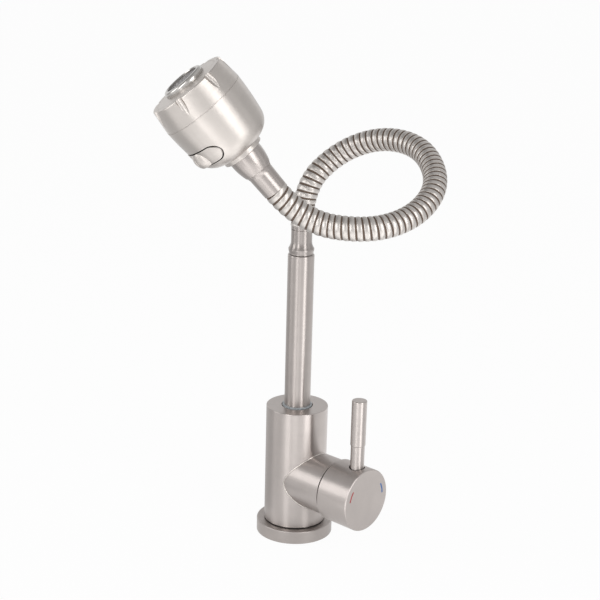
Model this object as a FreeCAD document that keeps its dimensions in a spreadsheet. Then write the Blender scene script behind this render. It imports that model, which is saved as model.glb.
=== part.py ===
import FreeCAD, Part
import Sketcher
import math
import os

# A flexible kitchen faucet: one lever mixer, a riser that swivels,
# a ribbed gooseneck hose in one loop, and a spray head with a mode switch.
# Millimetres. +Z is up, +X runs along the valve housing to the handle,
# and the origin is the centre of the deck face.

# Driving sizes. Steps, gaps and walls are named, so that neighbours follow.
SIZES = {
    "gap": 0.3,
    "edge": 0.5,
    "fit": 0.05,
    # Base and body
    "body_r": 22.5,
    "body_wall": 5.1,
    "flange_out": 5.5,
    "flange_h": 9.5,
    "flange_edge": 0.9,
    "insert_play": 0.2,
    "insert_clear": 4.7,
    "gasket_inset": 3.5,
    "gasket_w": 4.0,
    "gasket_h": 2.0,
    "seal_inset": 1.1,
    "seal_w": 3.0,
    "seal_h": 0.8,
    "inlet_r": 4.5,
    "inlet_x": 8.2,
    "inlet_y": 3.5,
    "stud_r": 3.3,
    "stud_y": 10.5,
    "way_r": 5.0,
    # Valve
    "valve_z": 44.7,
    "housing_step": 1.5,
    "housing_wall": 2.8,
    "housing_out": 17.9,
    "chamber_back_x": 10.0,
    "chamber_roof": 8.1,
    "cartridge_play": 0.7,
    "nut_play": 0.1,
    "nut_clear": 1.0,
    "nut_depth": 6.4,
    "nut_out": 3.1,
    "rotor_wall": 5.5,
    "rotor_depth": 10.0,
    "rotor_out": 1.5,
    "slot_play": 0.2,
    "slot_ends": 7.0,
    "pivot_r": 1.5,
    "pivot_inset": 3.5,
    "pivot_ends": 4.0,
    "stem_half": 3.5,
    # Handle
    "cap_out": 1.75,
    "cap_wall": 1.15,
    "cap_gap": 2.2,
    "cap_depth": 10.6,
    "cap_thick": 15.8,
    "cap_edge": 0.9,
    "stem_grip": 9.8,
    "lever_in": 6.2,
    "lever_play": 0.75,
    "lever_mouth_h": 4.6,
    "pin_r": 4.95,
    "pin_seat": 7.3,
    "pin_out": 16.55,
    "grip_out": 0.45,
    "grip_h": 33.8,
    "grip_edge": 0.7,
    "tenon_step": 1.95,
    "tenon_h": 10.0,
    "screw_in": 4.3,
    "screw_r": 2.5,
    "screw_depth": 3.0,
    "mark_inset": 5.15,
    "mark_w": 1.3,
    "mark_depth": 0.5,
    # Riser, its seat in the body, and collar
    "riser_r": 9.5,
    "riser_wall": 1.5,
    "riser_seat": 8.0,
    "riser_out": 113.7,
    "riser_edge": 1.0,
    "spigot_wall": 1.35,
    "spigot_ledge": 1.0,
    "socket_depth": 27.5,
    "socket_play": 0.1,
    "spigot_rise": 1.0,
    "mouth_play": 0.65,
    "mouth_h": 2.2,
    "ring_wire_r": 0.9,
    "ring_low": 2.4,
    "ring_step": 3.4,
    "lock_r": 1.5,
    "lock_drop": 5.5,
    "lock_depth": 0.65,
    "bearing_depth": 6.2,
    "bearing_lip": 0.8,
    "collar_play": 0.1,
    "collar_wall": 3.3,
    "collar_depth": 10.2,
    "neck_in": 0.8,
    "bead_in": 0.3,
    "bead_rise": 4.2,
    "waist_in": 2.0,
    "waist_taper": 5.2,
    "waist_h": 8.4,
    "collar_sweep": 9.0,
    "crimp_in": 0.4,
    "crimp_h": 3.0,
    # Hose
    "hose_r": 8.0,
    "rib_depth": 0.85,
    "hose_wall": 2.0,
    "hose_pitch": 4.42,
    # Spray head, along its own axis from the end of the hose
    "ferrule_wall": 3.4,
    "ferrule_neck_out": 0.3,
    "ferrule_neck_h": 13.0,
    "ferrule_knee_out": 1.3,
    "ferrule_knee_h": 4.5,
    "ferrule_knee_round": 7.0,
    "ferrule_bell_out": 1.6,
    "ferrule_bell_h": 12.0,
    "ferrule_bell_round": 40.0,
    "ferrule_lip": 1.5,
    "band_out": 2.7,
    "band_h": 3.1,
    "band_ledge": 0.6,
    "dome_r": 28.0,
    "dome_lap": 0.3,
    "dome_rise": 10.8,
    "dome_round": 12.77,
    "dome_side": 25.1,
    "dome_draft": 2.2,
    "dome_sweep": 190.0,
    "dome_wall": 2.2,
    "dome_crown": 3.8,
    "dome_shoulder": 2.9,
    "shoulder_in": 1.4,
    "ledge_rise": 1.1,
    "ledge_h": 2.8,
    "block_in": 8.0,
    "block_out": 1.7,
    "seam_gap": 0.35,
    "bezel_h": 16.0,
    "bezel_draft": 1.6,
    "bezel_edge": 1.1,
    "bezel_wall": 4.0,
    "flute_r": 2.6,
    "flute_run": 9.8,
    "flute_in": 0.7,
    "flute_len": 12.0,
    "plate_play": 0.1,
    "plate_depth": 6.3,
    "plate_rise": 0.7,
    "nozzle_share": 0.63,
    "nozzle_out": 1.6,
    "nozzle_lip": 2.0,
    "nozzle_wall": 2.9,
    "aerator_play": 0.1,
    "aerator_in": 1.6,
    "aerator_h": 5.0,
    "drop_r": 0.7,
    "drop_rim": 2.6,
    "near_drop_share": 0.53,
    # Mode switch on the head
    "paddle_rise": 2.1,
    "paddle_round": 5.3,
    "paddle_reach": 12.1,
    "paddle_thick": 3.3,
    "paddle_foot_in": 0.7,
    "paddle_top_out": 1.3,
    "paddle_sweep": 32.0,
    "thumb_r": 8.5,
    "thumb_out": 1.4,
    "thumb_groove_r": 0.45,
    "thumb_groove_step": 2.2,
    "window_gap": 0.7,
    "boss_r": 2.2,
    "hinge_r": 1.0,
    "hinge_out": 2.8,
    "hinge_end": 0.5,
}

# Sizes that follow, as sums and shares on the same sheet
FOLLOWING = {
    # Base, body and valve: radii, then heights and places along X
    "insert_r": "body_r - body_wall",
    "flange_r": "body_r + flange_out",
    "flange_bore_r": "insert_r + insert_play",
    "gasket_out_r": "flange_r - gasket_inset",
    "gasket_in_r": "gasket_out_r - gasket_w",
    "seal_out_r": "body_r - seal_inset",
    "seal_in_r": "seal_out_r - seal_w",
    "housing_r": "body_r - housing_step",
    "chamber_r": "housing_r - housing_wall",
    "cartridge_r": "chamber_r - cartridge_play",
    "rotor_r": "cartridge_r - rotor_wall",
    "nut_r": "chamber_r - nut_play",
    "nut_bore_r": "rotor_r + nut_clear",
    "body_foot_z": "flange_h + seal_h",
    "insert_h": "valve_z - chamber_r - insert_clear",
    "socket_floor_z": "valve_z + chamber_r + chamber_roof",
    "body_top_z": "socket_floor_z + socket_depth",
    "housing_end_x": "body_r + housing_out",
    "cartridge_end_x": "housing_end_x - nut_depth",
    "rotor_back_x": "cartridge_end_x - rotor_depth",
    "rotor_end_x": "cartridge_end_x + rotor_out",
    "nut_back_x": "cartridge_end_x + gap",
    "nut_end_x": "housing_end_x + nut_out",
    "pivot_x": "rotor_end_x - pivot_inset",
    "pivot_len": "rotor_r + rotor_r - pivot_ends",
    "stem_w": "stem_half + stem_half",
    "slot_w": "stem_w + slot_play",
    "slot_h": "rotor_r + rotor_r - slot_ends",
    # Handle
    "cap_r": "housing_r + cap_out",
    "cap_back_x": "housing_end_x + cap_gap",
    "cap_web_x": "cap_back_x + cap_depth",
    "cap_face_x": "cap_web_x + cap_thick",
    "stem_back_x": "pivot_x - stem_half",
    "stem_end_x": "cap_web_x + stem_grip",
    "lever_x": "cap_web_x + lever_in",
    "lever_hole_r": "pin_r + lever_play",
    "pin_foot_z": "valve_z + pin_seat",
    "pin_top_z": "valve_z + cap_r + pin_out",
    "grip_r": "pin_r + grip_out",
    "grip_top_z": "pin_top_z + grip_h",
    "tenon_r": "pin_r - tenon_step",
    "tenon_top_z": "pin_top_z + tenon_h",
    "screw_x": "cap_web_x + screw_in",
    "mark_r": "cap_r - mark_inset",
    # Riser and collar
    "riser_bore_r": "riser_r - riser_wall",
    "spigot_r": "riser_r + spigot_wall",
    "spigot_bore_r": "riser_bore_r - spigot_ledge",
    "socket_r": "spigot_r + socket_play",
    "mouth_r": "spigot_r + mouth_play",
    "ring_groove_r": "socket_r - ring_wire_r - ring_wire_r - fit",
    "lock_groove_r": "spigot_r - lock_depth",
    "bearing_foot_z": "body_top_z - bearing_depth",
    "bearing_top_z": "body_top_z + bearing_lip",
    "spigot_foot_z": "socket_floor_z + spigot_rise",
    "spigot_top_z": "bearing_foot_z - gap",
    "ring_low_z": "spigot_foot_z + ring_low",
    "ring_high_z": "ring_low_z + ring_step",
    "lock_z": "spigot_top_z - lock_drop",
    "riser_foot_z": "spigot_foot_z + riser_seat",
    "riser_top_z": "body_top_z + riser_out",
    "collar_spigot_r": "riser_bore_r - collar_play",
    "collar_bore_r": "collar_spigot_r - collar_wall",
    "neck_r": "riser_r - neck_in",
    "bead_r": "riser_r - bead_in",
    "waist_r": "riser_r - waist_in",
    "collar_foot_z": "riser_top_z - collar_depth",
    "bead_z": "riser_top_z + bead_rise",
    "waist_z": "bead_z + waist_taper",
    "collar_top_z": "waist_z + waist_h",
    "crimp_r": "hose_r - crimp_in",
    "crimp_top_z": "collar_top_z + crimp_h",
    # Hose and spray head
    "groove_r": "hose_r - rib_depth",
    "hose_bore_r": "hose_r - hose_wall",
    "ferrule_bore_r": "hose_r - ferrule_wall",
    "ferrule_neck_r": "hose_r + ferrule_neck_out",
    "ferrule_knee_r": "ferrule_neck_r + ferrule_knee_out",
    "ferrule_bell_r": "ferrule_knee_r + ferrule_bell_out",
    "ferrule_knee_u": "ferrule_neck_h + ferrule_knee_h",
    "ferrule_bell_u": "ferrule_knee_u + ferrule_bell_h",
    "ferrule_top_u": "ferrule_bell_u + ferrule_lip",
    "band_r": "ferrule_bell_r + band_out",
    "band_bore_r": "ferrule_bore_r + band_ledge",
    "band_foot_u": "ferrule_top_u + gap",
    "band_top_u": "band_foot_u + band_h",
    "dome_top_r": "band_r + dome_lap",
    "dome_side_r": "dome_r - dome_draft",
    "dome_side_u": "band_top_u + dome_rise",
    "seam_u": "dome_side_u + dome_side",
    "paddle_mid_u": "dome_side_u + paddle_rise",
    "block_r": "dome_side_r - block_in",
    "block_foot_u": "band_top_u + dome_crown",
    "block_top_u": "seam_u + block_out",
    "shoulder_r": "dome_side_r - dome_wall - shoulder_in",
    "shoulder_u": "block_foot_u + dome_shoulder",
    "ledge_foot_u": "paddle_mid_u + paddle_round + window_gap + ledge_rise",
    "ledge_top_u": "ledge_foot_u + ledge_h",
    "bezel_front_r": "dome_r - bezel_draft",
    "bezel_bore_r": "bezel_front_r - bezel_wall",
    "bezel_back_u": "seam_u + seam_gap",
    "bezel_front_u": "seam_u + bezel_h",
    "flute_foot_u": "bezel_front_u - flute_run",
    "flute_axis_r": "dome_r - flute_in + flute_r",
    "plate_r": "bezel_bore_r - plate_play",
    "nozzle_r": "bezel_bore_r * nozzle_share",
    "plate_bore_r": "nozzle_r + plate_play",
    "plate_foot_u": "bezel_front_u - plate_depth",
    "plate_mid_u": "bezel_front_u + plate_rise",
    "nozzle_foot_u": "block_top_u + gap",
    "nozzle_shoulder_u": "plate_mid_u + nozzle_out",
    "nozzle_top_u": "nozzle_shoulder_u + nozzle_lip",
    "nozzle_bore_r": "nozzle_r - nozzle_wall",
    "aerator_r": "nozzle_bore_r - aerator_play",
    "aerator_top_u": "nozzle_top_u - aerator_in",
    "aerator_foot_u": "aerator_top_u - aerator_h",
    "drop_far_r": "aerator_r - drop_rim",
    "drop_near_r": "drop_far_r * near_drop_share",
    "paddle_foot_u": "paddle_mid_u - paddle_round",
    "paddle_top_u": "paddle_mid_u + paddle_round",
    "paddle_in_r": "dome_side_r - paddle_thick",
    "paddle_foot_r": "dome_side_r - paddle_foot_in",
    "paddle_top_r": "dome_side_r + paddle_top_out",
    "paddle_h": "paddle_round + paddle_round",
    "paddle_span": "paddle_reach + paddle_reach",
    "window_round": "paddle_round + window_gap",
    "thumb_x": "dome_r + thumb_out - thumb_r",
    "thumb_groove_x": "dome_r + thumb_out + edge - thumb_groove_r",
    "hinge_x": "block_r + hinge_out",
    "hinge_foot_u": "block_foot_u + hinge_end",
    "hinge_top_u": "ledge_top_u - hinge_end",
}

# Counts
FLUTE_COUNT = 7
NEAR_DROP_COUNT = 9
FAR_DROP_COUNT = 18

# Angles in degrees
HEAD_TILT = 40.45
HEAD_HEADING = -127.58
HEAD_SPIN = 28.8
RED_ANGLE = 156.0
BLUE_ANGLE = 16.0
MARK_SPAN = 26.0
FLUTE_LEAN = 18.0
FLUTE_PHASE = -10.0

# The hose's route from the top of its crimp: straight runs that tangent arcs join
HOSE_ROUTE = [
    (0.0, 0.0, 0.0),
    (0.0, 0.0, 27.0),
    (10.6, 24.1, 51.0),
    (41.9, 34.7, 64.8),
    (79.3, 32.7, 62.5),
    (110.8, 11.0, 45.4),
    (114.8, -17.0, 28.3),
    (102.6, -49.7, 21.2),
    (65.034, -70.617, 24.716),
    (54.35, -84.5, 45.26),
]
ARC_SHARE = 0.45
HALF_SHARE = 0.5
END_RUNS = 2

doc = FreeCAD.newDocument("faucet")
sheet = doc.addObject("Spreadsheet::Sheet", "Sizes")
for row, name in enumerate(list(SIZES) + list(FOLLOWING), start=1):
    value = str(SIZES[name]) if name in SIZES else "=" + FOLLOWING[name]
    sheet.set("A%d" % row, name)
    sheet.set("B%d" % row, value)
    sheet.setAlias("B%d" % row, name)
doc.recompute()

UP = FreeCAD.Vector(0, 0, 1)
ALONG_X = FreeCAD.Rotation(FreeCAD.Vector(0, 1, 0), 90)
ALONG_Y = FreeCAD.Rotation(FreeCAD.Vector(1, 0, 0), -90)
NO_TURN = FreeCAD.Rotation()


def total(text):
    """The value of a sum of named sizes, such as 'body_r - edge'."""
    value, sign = 0.0, 1.0
    for word in text.split():
        if word == "+":
            sign = 1.0
        elif word == "-":
            sign = -1.0
        else:
            value += sign * sheet.get(word)
    return value


def bound(text):
    """The same sum as an expression on the sheet."""
    return " ".join(word if word in "+-" else "Sizes." + word for word in text.split())


def spot(x, y, z):
    """A point from three sums of named sizes."""
    return FreeCAD.Vector(*(total(text) if text else 0.0 for text in (x, y, z)))


def place(x="", y="", z="", turn=NO_TURN):
    return FreeCAD.Placement(spot(x, y, z), turn)


def outline(corner, after, radius):
    """The line from a corner to the next, or an arc: out of the axis for a plus radius, else in."""
    if not radius:
        return Part.LineSegment(corner, after)
    chord = after - corner
    size = total(radius.lstrip("-"))
    side = -1.0 if radius.startswith("-") else 1.0
    reach = math.sqrt(size * size - chord.Length * chord.Length * HALF_SHARE * HALF_SHARE)
    across = FreeCAD.Vector(-chord.y, chord.x, 0).normalize() * side
    centre = corner + chord * HALF_SHARE + across * reach
    middle = centre - across * size
    first, last = (corner, after) if side > 0 else (after, corner)
    return Part.Arc(first, middle, last)


def at_point(point, turn=NO_TURN):
    return FreeCAD.Placement(point, turn)


def lathe(label, points, placement=None):
    """A body turned about its own Z axis from a closed profile of (radius, height) sums.

    A third sum is the radius of an arc from that corner to the next.
    """
    body = doc.addObject("PartDesign::Body", label)
    sketch = body.newObject("Sketcher::SketchObject", label + "_profile")
    plane = [item for item in body.Origin.OriginFeatures if item.Role == "XZ_Plane"][0]
    sketch.AttachmentSupport = [(plane, "")]
    sketch.MapMode = "FlatFace"
    points = [point if len(point) > 2 else point + ("",) for point in points]
    corners = [FreeCAD.Vector(total(r) if r else 0, total(h) if h else 0, 0) for r, h, _ in points]
    count = len(corners)
    # An inward arc runs backwards, so its first end is the next corner
    firsts = [2 if radius.startswith("-") else 1 for _, _, radius in points]
    for i in range(count):
        sketch.addGeometry(outline(corners[i], corners[(i + 1) % count], points[i][2]), False)
    for i in range(count):
        after = (i + 1) % count
        sketch.addConstraint(Sketcher.Constraint("Coincident", i, 3 - firsts[i], after, firsts[after]))
    for i, (r, h, radius) in enumerate(points):
        for text, axis, kind, name in ((r, -2, "DistanceX", "r%d"), (h, -1, "DistanceY", "h%d")):
            if not text:
                sketch.addConstraint(Sketcher.Constraint("PointOnObject", i, firsts[i], axis))
                continue
            at = sketch.addConstraint(Sketcher.Constraint(kind, -1, 1, i, firsts[i], total(text)))
            sketch.renameConstraint(at, name % i)
            sketch.setExpression("Constraints." + name % i, bound(text))
        if radius:
            size = radius.lstrip("-")
            at = sketch.addConstraint(Sketcher.Constraint("Radius", i, total(size)))
            sketch.renameConstraint(at, "arc%d" % i)
            sketch.setExpression("Constraints.arc%d" % i, bound(size))
    turned = body.newObject("PartDesign::Revolution", label + "_turned")
    turned.Profile = sketch
    turned.ReferenceAxis = (sketch, ["V_Axis"])
    turned.Angle = 360
    body.Tip = turned
    if placement:
        body.Placement = placement
    return body


def rod(label, radius, height, placement=None):
    """A plain cylinder."""
    item = doc.addObject("Part::Cylinder", label)
    item.setExpression("Radius", bound(radius))
    item.setExpression("Height", bound(height))
    if placement:
        item.Placement = placement
    return item


def block(label, length, width, height, placement):
    """A plain box, from its corner."""
    item = doc.addObject("Part::Box", label)
    item.setExpression("Length", bound(length))
    item.setExpression("Width", bound(width))
    item.setExpression("Height", bound(height))
    item.Placement = placement
    return item


def ring(label, radius, wire, placement):
    """A round ring, such as an O-ring."""
    item = doc.addObject("Part::Torus", label)
    item.setExpression("Radius1", bound(radius))
    item.setExpression("Radius2", bound(wire))
    item.Placement = placement
    return item


def joined(label, items):
    item = doc.addObject("Part::MultiFuse", label)
    item.Shapes = items
    return item


def cut(label, base, tool):
    item = doc.addObject("Part::Cut", label)
    item.Base = base
    item.Tool = tool
    return item


def common(label, base, tool):
    item = doc.addObject("Part::Common", label)
    item.Base = base
    item.Tool = tool
    return item


# Base: flange, gasket, brass insert and seal
nodes = []
nodes.append(cut("base_flange", lathe("flange_blank", [
    ("flange_bore_r", ""),
    ("flange_r", ""),
    ("flange_r", "flange_h - flange_edge", "flange_edge"),
    ("flange_r - flange_edge", "flange_h"),
    ("flange_bore_r", "flange_h"),
]), lathe("gasket_groove", [
    ("gasket_in_r - edge", ""),
    ("gasket_out_r + edge", ""),
    ("gasket_out_r + edge", "gasket_h + fit"),
    ("gasket_in_r - edge", "gasket_h + fit"),
])))
nodes.append(lathe("deck_gasket", [
    ("gasket_in_r", ""),
    ("gasket_out_r", ""),
    ("gasket_out_r", "gasket_h"),
    ("gasket_in_r", "gasket_h"),
]))
nodes.append(lathe("body_seal", [
    ("seal_in_r", "flange_h"),
    ("seal_out_r", "flange_h"),
    ("seal_out_r", "body_foot_z"),
    ("seal_in_r", "body_foot_z"),
]))
nodes.append(cut("base_insert", rod("insert_blank", "insert_r", "insert_h"), joined("insert_holes", [
    rod("hole_hot", "inlet_r", "insert_h", at_point(spot("", "", "") - spot("inlet_x", "inlet_y", ""))),
    rod("hole_cold", "inlet_r", "insert_h", at_point(spot("inlet_x", "", "") - spot("", "inlet_y", ""))),
    rod("hole_stud", "stud_r", "insert_h - edge - edge", place("", "stud_y", "")),
])))

# Body with its chamber, and the housing that meets it in a saddle
body_blank = lathe("body_blank", [
    ("insert_r + fit", "body_foot_z"),
    ("body_r", "body_foot_z"),
    ("body_r", "body_top_z - edge", "edge"),
    ("body_r - edge", "body_top_z"),
    ("mouth_r", "body_top_z"),
    ("mouth_r", "body_top_z - mouth_h"),
    ("socket_r", "body_top_z - mouth_h"),
    ("socket_r", "socket_floor_z"),
    ("way_r", "socket_floor_z"),
    ("way_r", "insert_h + gap"),
    ("insert_r + fit", "insert_h + gap"),
])
valve_turn = FreeCAD.Placement(spot("", "", "valve_z"), ALONG_X)


def on_valve(label, points):
    """A turned piece on the valve's axis: heights run along +X."""
    return lathe(label, points, valve_turn)


chamber = rod("chamber", "chamber_r", "chamber_back_x + housing_end_x",
              at_point(spot("", "", "valve_z") - spot("chamber_back_x", "", ""), ALONG_X))
lock_hole = rod("lock_hole", "lock_r + fit", "body_r + edge", place("", "", "lock_z", ALONG_Y))
nodes.append(cut("faucet_body", body_blank, joined("body_cuts", [chamber, lock_hole])))
nodes.append(cut("valve_housing", on_valve("housing_blank", [
    ("chamber_r", "way_r"),
    ("housing_r", "way_r"),
    ("housing_r", "housing_end_x - edge", "edge"),
    ("housing_r - edge", "housing_end_x"),
    ("chamber_r", "housing_end_x"),
]), rod("body_envelope", "body_r", "body_top_z")))

# Cartridge: body, rotor, nut, stem and its pin
nodes.append(on_valve("cartridge_body", [
    ("way_r - edge", "edge + edge - chamber_back_x"),
    ("cartridge_r", "edge + edge - chamber_back_x"),
    ("cartridge_r", "cartridge_end_x"),
    ("rotor_r + fit", "cartridge_end_x"),
    ("rotor_r + fit", "rotor_back_x - gap"),
    ("way_r - edge", "rotor_back_x - gap"),
]))
nodes.append(on_valve("cartridge_nut", [
    ("nut_bore_r", "nut_back_x"),
    ("nut_r", "nut_back_x"),
    ("nut_r", "nut_end_x - edge", "edge"),
    ("nut_r - edge", "nut_end_x"),
    ("nut_bore_r", "nut_end_x"),
]))
rotor_blank = on_valve("rotor_blank", [
    ("", "rotor_back_x"),
    ("rotor_r", "rotor_back_x"),
    ("rotor_r", "rotor_end_x"),
    ("", "rotor_end_x"),
])
slot_corner = spot("rotor_back_x + edge + edge", "", "valve_z") - spot("", "slot_w", "slot_h") * HALF_SHARE
slot = block("stem_slot", "rotor_end_x", "slot_w", "slot_h", FreeCAD.Placement(slot_corner, NO_TURN))
pin_foot = spot("pivot_x", "", "valve_z") - spot("", "pivot_len", "") * HALF_SHARE
pin_place = FreeCAD.Placement(pin_foot, ALONG_Y)
rotor_hole = rod("rotor_hole", "pivot_r", "pivot_len", pin_place)
nodes.append(cut("cartridge_rotor", rotor_blank, joined("rotor_cuts", [slot, rotor_hole])))
nodes.append(rod("stem_pin", "pivot_r", "pivot_len", pin_place))
stem_corner = spot("stem_back_x", "", "valve_z") - spot("", "stem_w", "stem_w") * HALF_SHARE
stem_blank = block("stem_blank", "stem_end_x - stem_back_x", "stem_w", "stem_w",
                   FreeCAD.Placement(stem_corner, NO_TURN))
stem_hole = rod("stem_hole", "pivot_r + fit", "pivot_len", pin_place)
nodes.append(cut("cartridge_stem", stem_blank, stem_hole))

# Handle: cap, lever, grub screw and the two temperature marks
cap_blank = on_valve("cap_blank", [
    ("", "cap_web_x"),
    ("cap_r - cap_wall", "cap_web_x"),
    ("cap_r - cap_wall", "cap_back_x"),
    ("cap_r", "cap_back_x"),
    ("cap_r", "cap_face_x - cap_edge", "cap_edge"),
    ("cap_r - cap_edge", "cap_face_x"),
    ("", "cap_face_x"),
])
lever_bore = rod("lever_bore", "pin_r", "cap_r - pin_seat + edge", place("lever_x", "", "pin_foot_z"))
lever_mouth = rod("lever_mouth", "lever_hole_r", "cap_r",
                  place("lever_x", "", "valve_z + cap_r - lever_mouth_h"))
stem_socket = block("stem_socket", "stem_end_x - stem_back_x + gap", "stem_w", "stem_w",
                    FreeCAD.Placement(stem_corner, NO_TURN))
screw_hole = rod("screw_hole", "screw_r", "cap_r", place("screw_x", "", "valve_z - cap_r"))


def mark(label, angle):
    """A short curved inlay near the edge of the handle's face."""
    middle = sheet.get("mark_r")
    width = sheet.get("mark_w")
    depth = sheet.get("mark_depth")
    inner, outer = middle - width * HALF_SHARE, middle + width * HALF_SHARE
    ends = [math.radians(angle + MARK_SPAN * share) for share in (-HALF_SHARE, 0.0, HALF_SHARE)]

    def at(radius, turn):
        face = total("cap_face_x - mark_depth")
        return FreeCAD.Vector(face, radius * math.cos(turn), total("valve_z") + radius * math.sin(turn))

    outside = Part.Arc(*(at(outer, turn) for turn in ends)).toShape()
    inside = Part.Arc(*(at(inner, turn) for turn in ends)).toShape()
    first = Part.LineSegment(at(inner, ends[0]), at(outer, ends[0])).toShape()
    last = Part.LineSegment(at(inner, ends[2]), at(outer, ends[2])).toShape()
    face = Part.Face(Part.Wire(Part.__sortEdges__([outside, last, inside, first])))
    item = doc.addObject("Part::Feature", label)
    item.Shape = face.extrude(FreeCAD.Vector(depth, 0, 0))
    return item


mark_red = mark("mark_red", RED_ANGLE)
mark_blue = mark("mark_blue", BLUE_ANGLE)
cap_cuts = joined("cap_cuts", [lever_bore, lever_mouth, stem_socket, screw_hole, mark_red, mark_blue])
nodes.append(cut("handle_cap", cap_blank, cap_cuts))
nodes.append(lathe("lever_pin", [
    ("", "pin_foot_z"),
    ("pin_r", "pin_foot_z"),
    ("pin_r", "pin_top_z"),
    ("tenon_r", "pin_top_z"),
    ("tenon_r", "tenon_top_z"),
    ("", "tenon_top_z"),
], place("lever_x")))
nodes.append(lathe("lever_grip", [
    ("tenon_r", "pin_top_z"),
    ("grip_r - grip_edge", "pin_top_z", "grip_edge"),
    ("grip_r", "pin_top_z + grip_edge"),
    ("grip_r", "grip_top_z - grip_edge", "grip_edge"),
    ("grip_r - grip_edge", "grip_top_z"),
    ("", "grip_top_z"),
    ("", "tenon_top_z + gap"),
    ("tenon_r", "tenon_top_z + gap"),
], place("lever_x")))
nodes.append(rod("cap_screw", "screw_r", "cap_r - screw_depth - stem_half - edge",
                 place("screw_x", "", "valve_z - cap_r + screw_depth")))
nodes.append(mark_red)
nodes.append(mark_blue)

# Spout: riser with its spigot, rings, bearing, lock screw and collar
nodes.append(lathe("riser_tube", [
    ("riser_bore_r", "riser_foot_z"),
    ("riser_r", "riser_foot_z"),
    ("riser_r", "riser_top_z - riser_edge", "riser_edge"),
    ("riser_r - riser_edge", "riser_top_z"),
    ("riser_bore_r", "riser_top_z"),
]))
nodes.append(lathe("spout_spigot", [
    ("spigot_bore_r", "spigot_foot_z"),
    ("spigot_r", "spigot_foot_z"),
    ("spigot_r", "ring_low_z - ring_wire_r - fit"),
    ("ring_groove_r", "ring_low_z - ring_wire_r - fit"),
    ("ring_groove_r", "ring_low_z + ring_wire_r + fit"),
    ("spigot_r", "ring_low_z + ring_wire_r + fit"),
    ("spigot_r", "ring_high_z - ring_wire_r - fit"),
    ("ring_groove_r", "ring_high_z - ring_wire_r - fit"),
    ("ring_groove_r", "ring_high_z + ring_wire_r + fit"),
    ("spigot_r", "ring_high_z + ring_wire_r + fit"),
    ("spigot_r", "lock_z - lock_r - gap"),
    ("lock_groove_r", "lock_z - lock_r - gap"),
    ("lock_groove_r", "lock_z + lock_r + gap"),
    ("spigot_r", "lock_z + lock_r + gap"),
    ("spigot_r", "spigot_top_z"),
    ("riser_r", "spigot_top_z"),
    ("riser_r", "riser_foot_z"),
    ("spigot_bore_r", "riser_foot_z"),
]))
for label, height in (("spigot_ring_low", "ring_low_z"), ("spigot_ring_high", "ring_high_z")):
    nodes.append(ring(label, "ring_groove_r + ring_wire_r", "ring_wire_r", place("", "", height)))
nodes.append(lathe("spout_bearing", [
    ("riser_r + fit", "bearing_foot_z"),
    ("spigot_r", "bearing_foot_z"),
    ("spigot_r", "bearing_top_z"),
    ("riser_r + fit", "bearing_top_z"),
]))
nodes.append(rod("spout_screw", "lock_r", "body_r - lock_groove_r - edge - edge", FreeCAD.Placement(
    spot("", "lock_groove_r + gap", "lock_z"), ALONG_Y)))
nodes.append(lathe("collar_nut", [
    ("collar_bore_r", "collar_foot_z"),
    ("collar_spigot_r", "collar_foot_z"),
    ("collar_spigot_r", "riser_top_z + gap"),
    ("neck_r", "riser_top_z + gap"),
    ("neck_r", "riser_top_z + gap + edge + edge"),
    ("bead_r", "bead_z - riser_edge"),
    ("bead_r", "bead_z", "-collar_sweep"),
    ("waist_r", "waist_z"),
    ("waist_r", "collar_top_z"),
    ("collar_bore_r", "collar_top_z"),
]))
nodes.append(lathe("hose_crimp", [
    ("collar_bore_r", "collar_top_z"),
    ("waist_r - edge", "collar_top_z"),
    ("waist_r - edge", "collar_top_z + edge"),
    ("crimp_r", "collar_top_z + edge"),
    ("crimp_r", "crimp_top_z"),
    ("collar_bore_r", "crimp_top_z"),
]))


# The hose's route as runs and arcs, sampled by length
def route_pieces(points):
    """Straight runs and tangent arcs along a route, each as (kind, data, length)."""
    pieces, radii, at = [], [], points[0]
    for before, corner, after in zip(points, points[1:], points[2:]):
        back, ahead = before - corner, after - corner
        reach = ARC_SHARE * min(back.Length, ahead.Length)
        turn = math.pi - back.getAngle(ahead)
        radius = reach / math.tan(turn * HALF_SHARE)
        start = corner + FreeCAD.Vector(back).normalize() * reach
        finish = corner + FreeCAD.Vector(ahead).normalize() * reach
        axis = (corner - before).cross(after - corner).normalize()
        inward = axis.cross(corner - before).normalize()
        pieces.append(("run", (at, start), (start - at).Length))
        pieces.append(("arc", (start + inward * radius, start, axis, turn), radius * turn))
        radii.append(radius)
        at = finish
    pieces.append(("run", (at, points[-1]), (points[-1] - at).Length))
    return pieces, radii


def route_at(pieces, distance):
    """The point and direction at a distance along the route."""
    left = distance
    for number, (kind, data, length) in enumerate(pieces):
        if left > length and number + 1 < len(pieces):
            left -= length
            continue
        if kind == "run":
            ahead = (data[1] - data[0]).normalize()
            return data[0] + ahead * left, ahead
        centre, start, axis, turn = data
        spun = FreeCAD.Rotation(axis, math.degrees(turn * left / length))
        arm = spun.multVec(start - centre)
        return centre + arm, axis.cross(arm).normalize()
    return None


hose_foot = spot("", "", "crimp_top_z")
hose_route = [FreeCAD.Vector(*point) + hose_foot for point in HOSE_ROUTE]
pieces, radii = route_pieces(hose_route)
hose_length = sum(length for _, _, length in pieces)
split_length = sum(length for _, _, length in pieces[:-END_RUNS]) - pieces[-END_RUNS - 1][2] * HALF_SHARE
print("hose arcs, mm:", ", ".join("%.1f" % radius for radius in radii))
print("hose length, mm: %.1f" % hose_length)


def carried(normal, before, after):
    """A normal carried along the route without twisting."""
    return FreeCAD.Rotation(before, after).multVec(normal)


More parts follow.
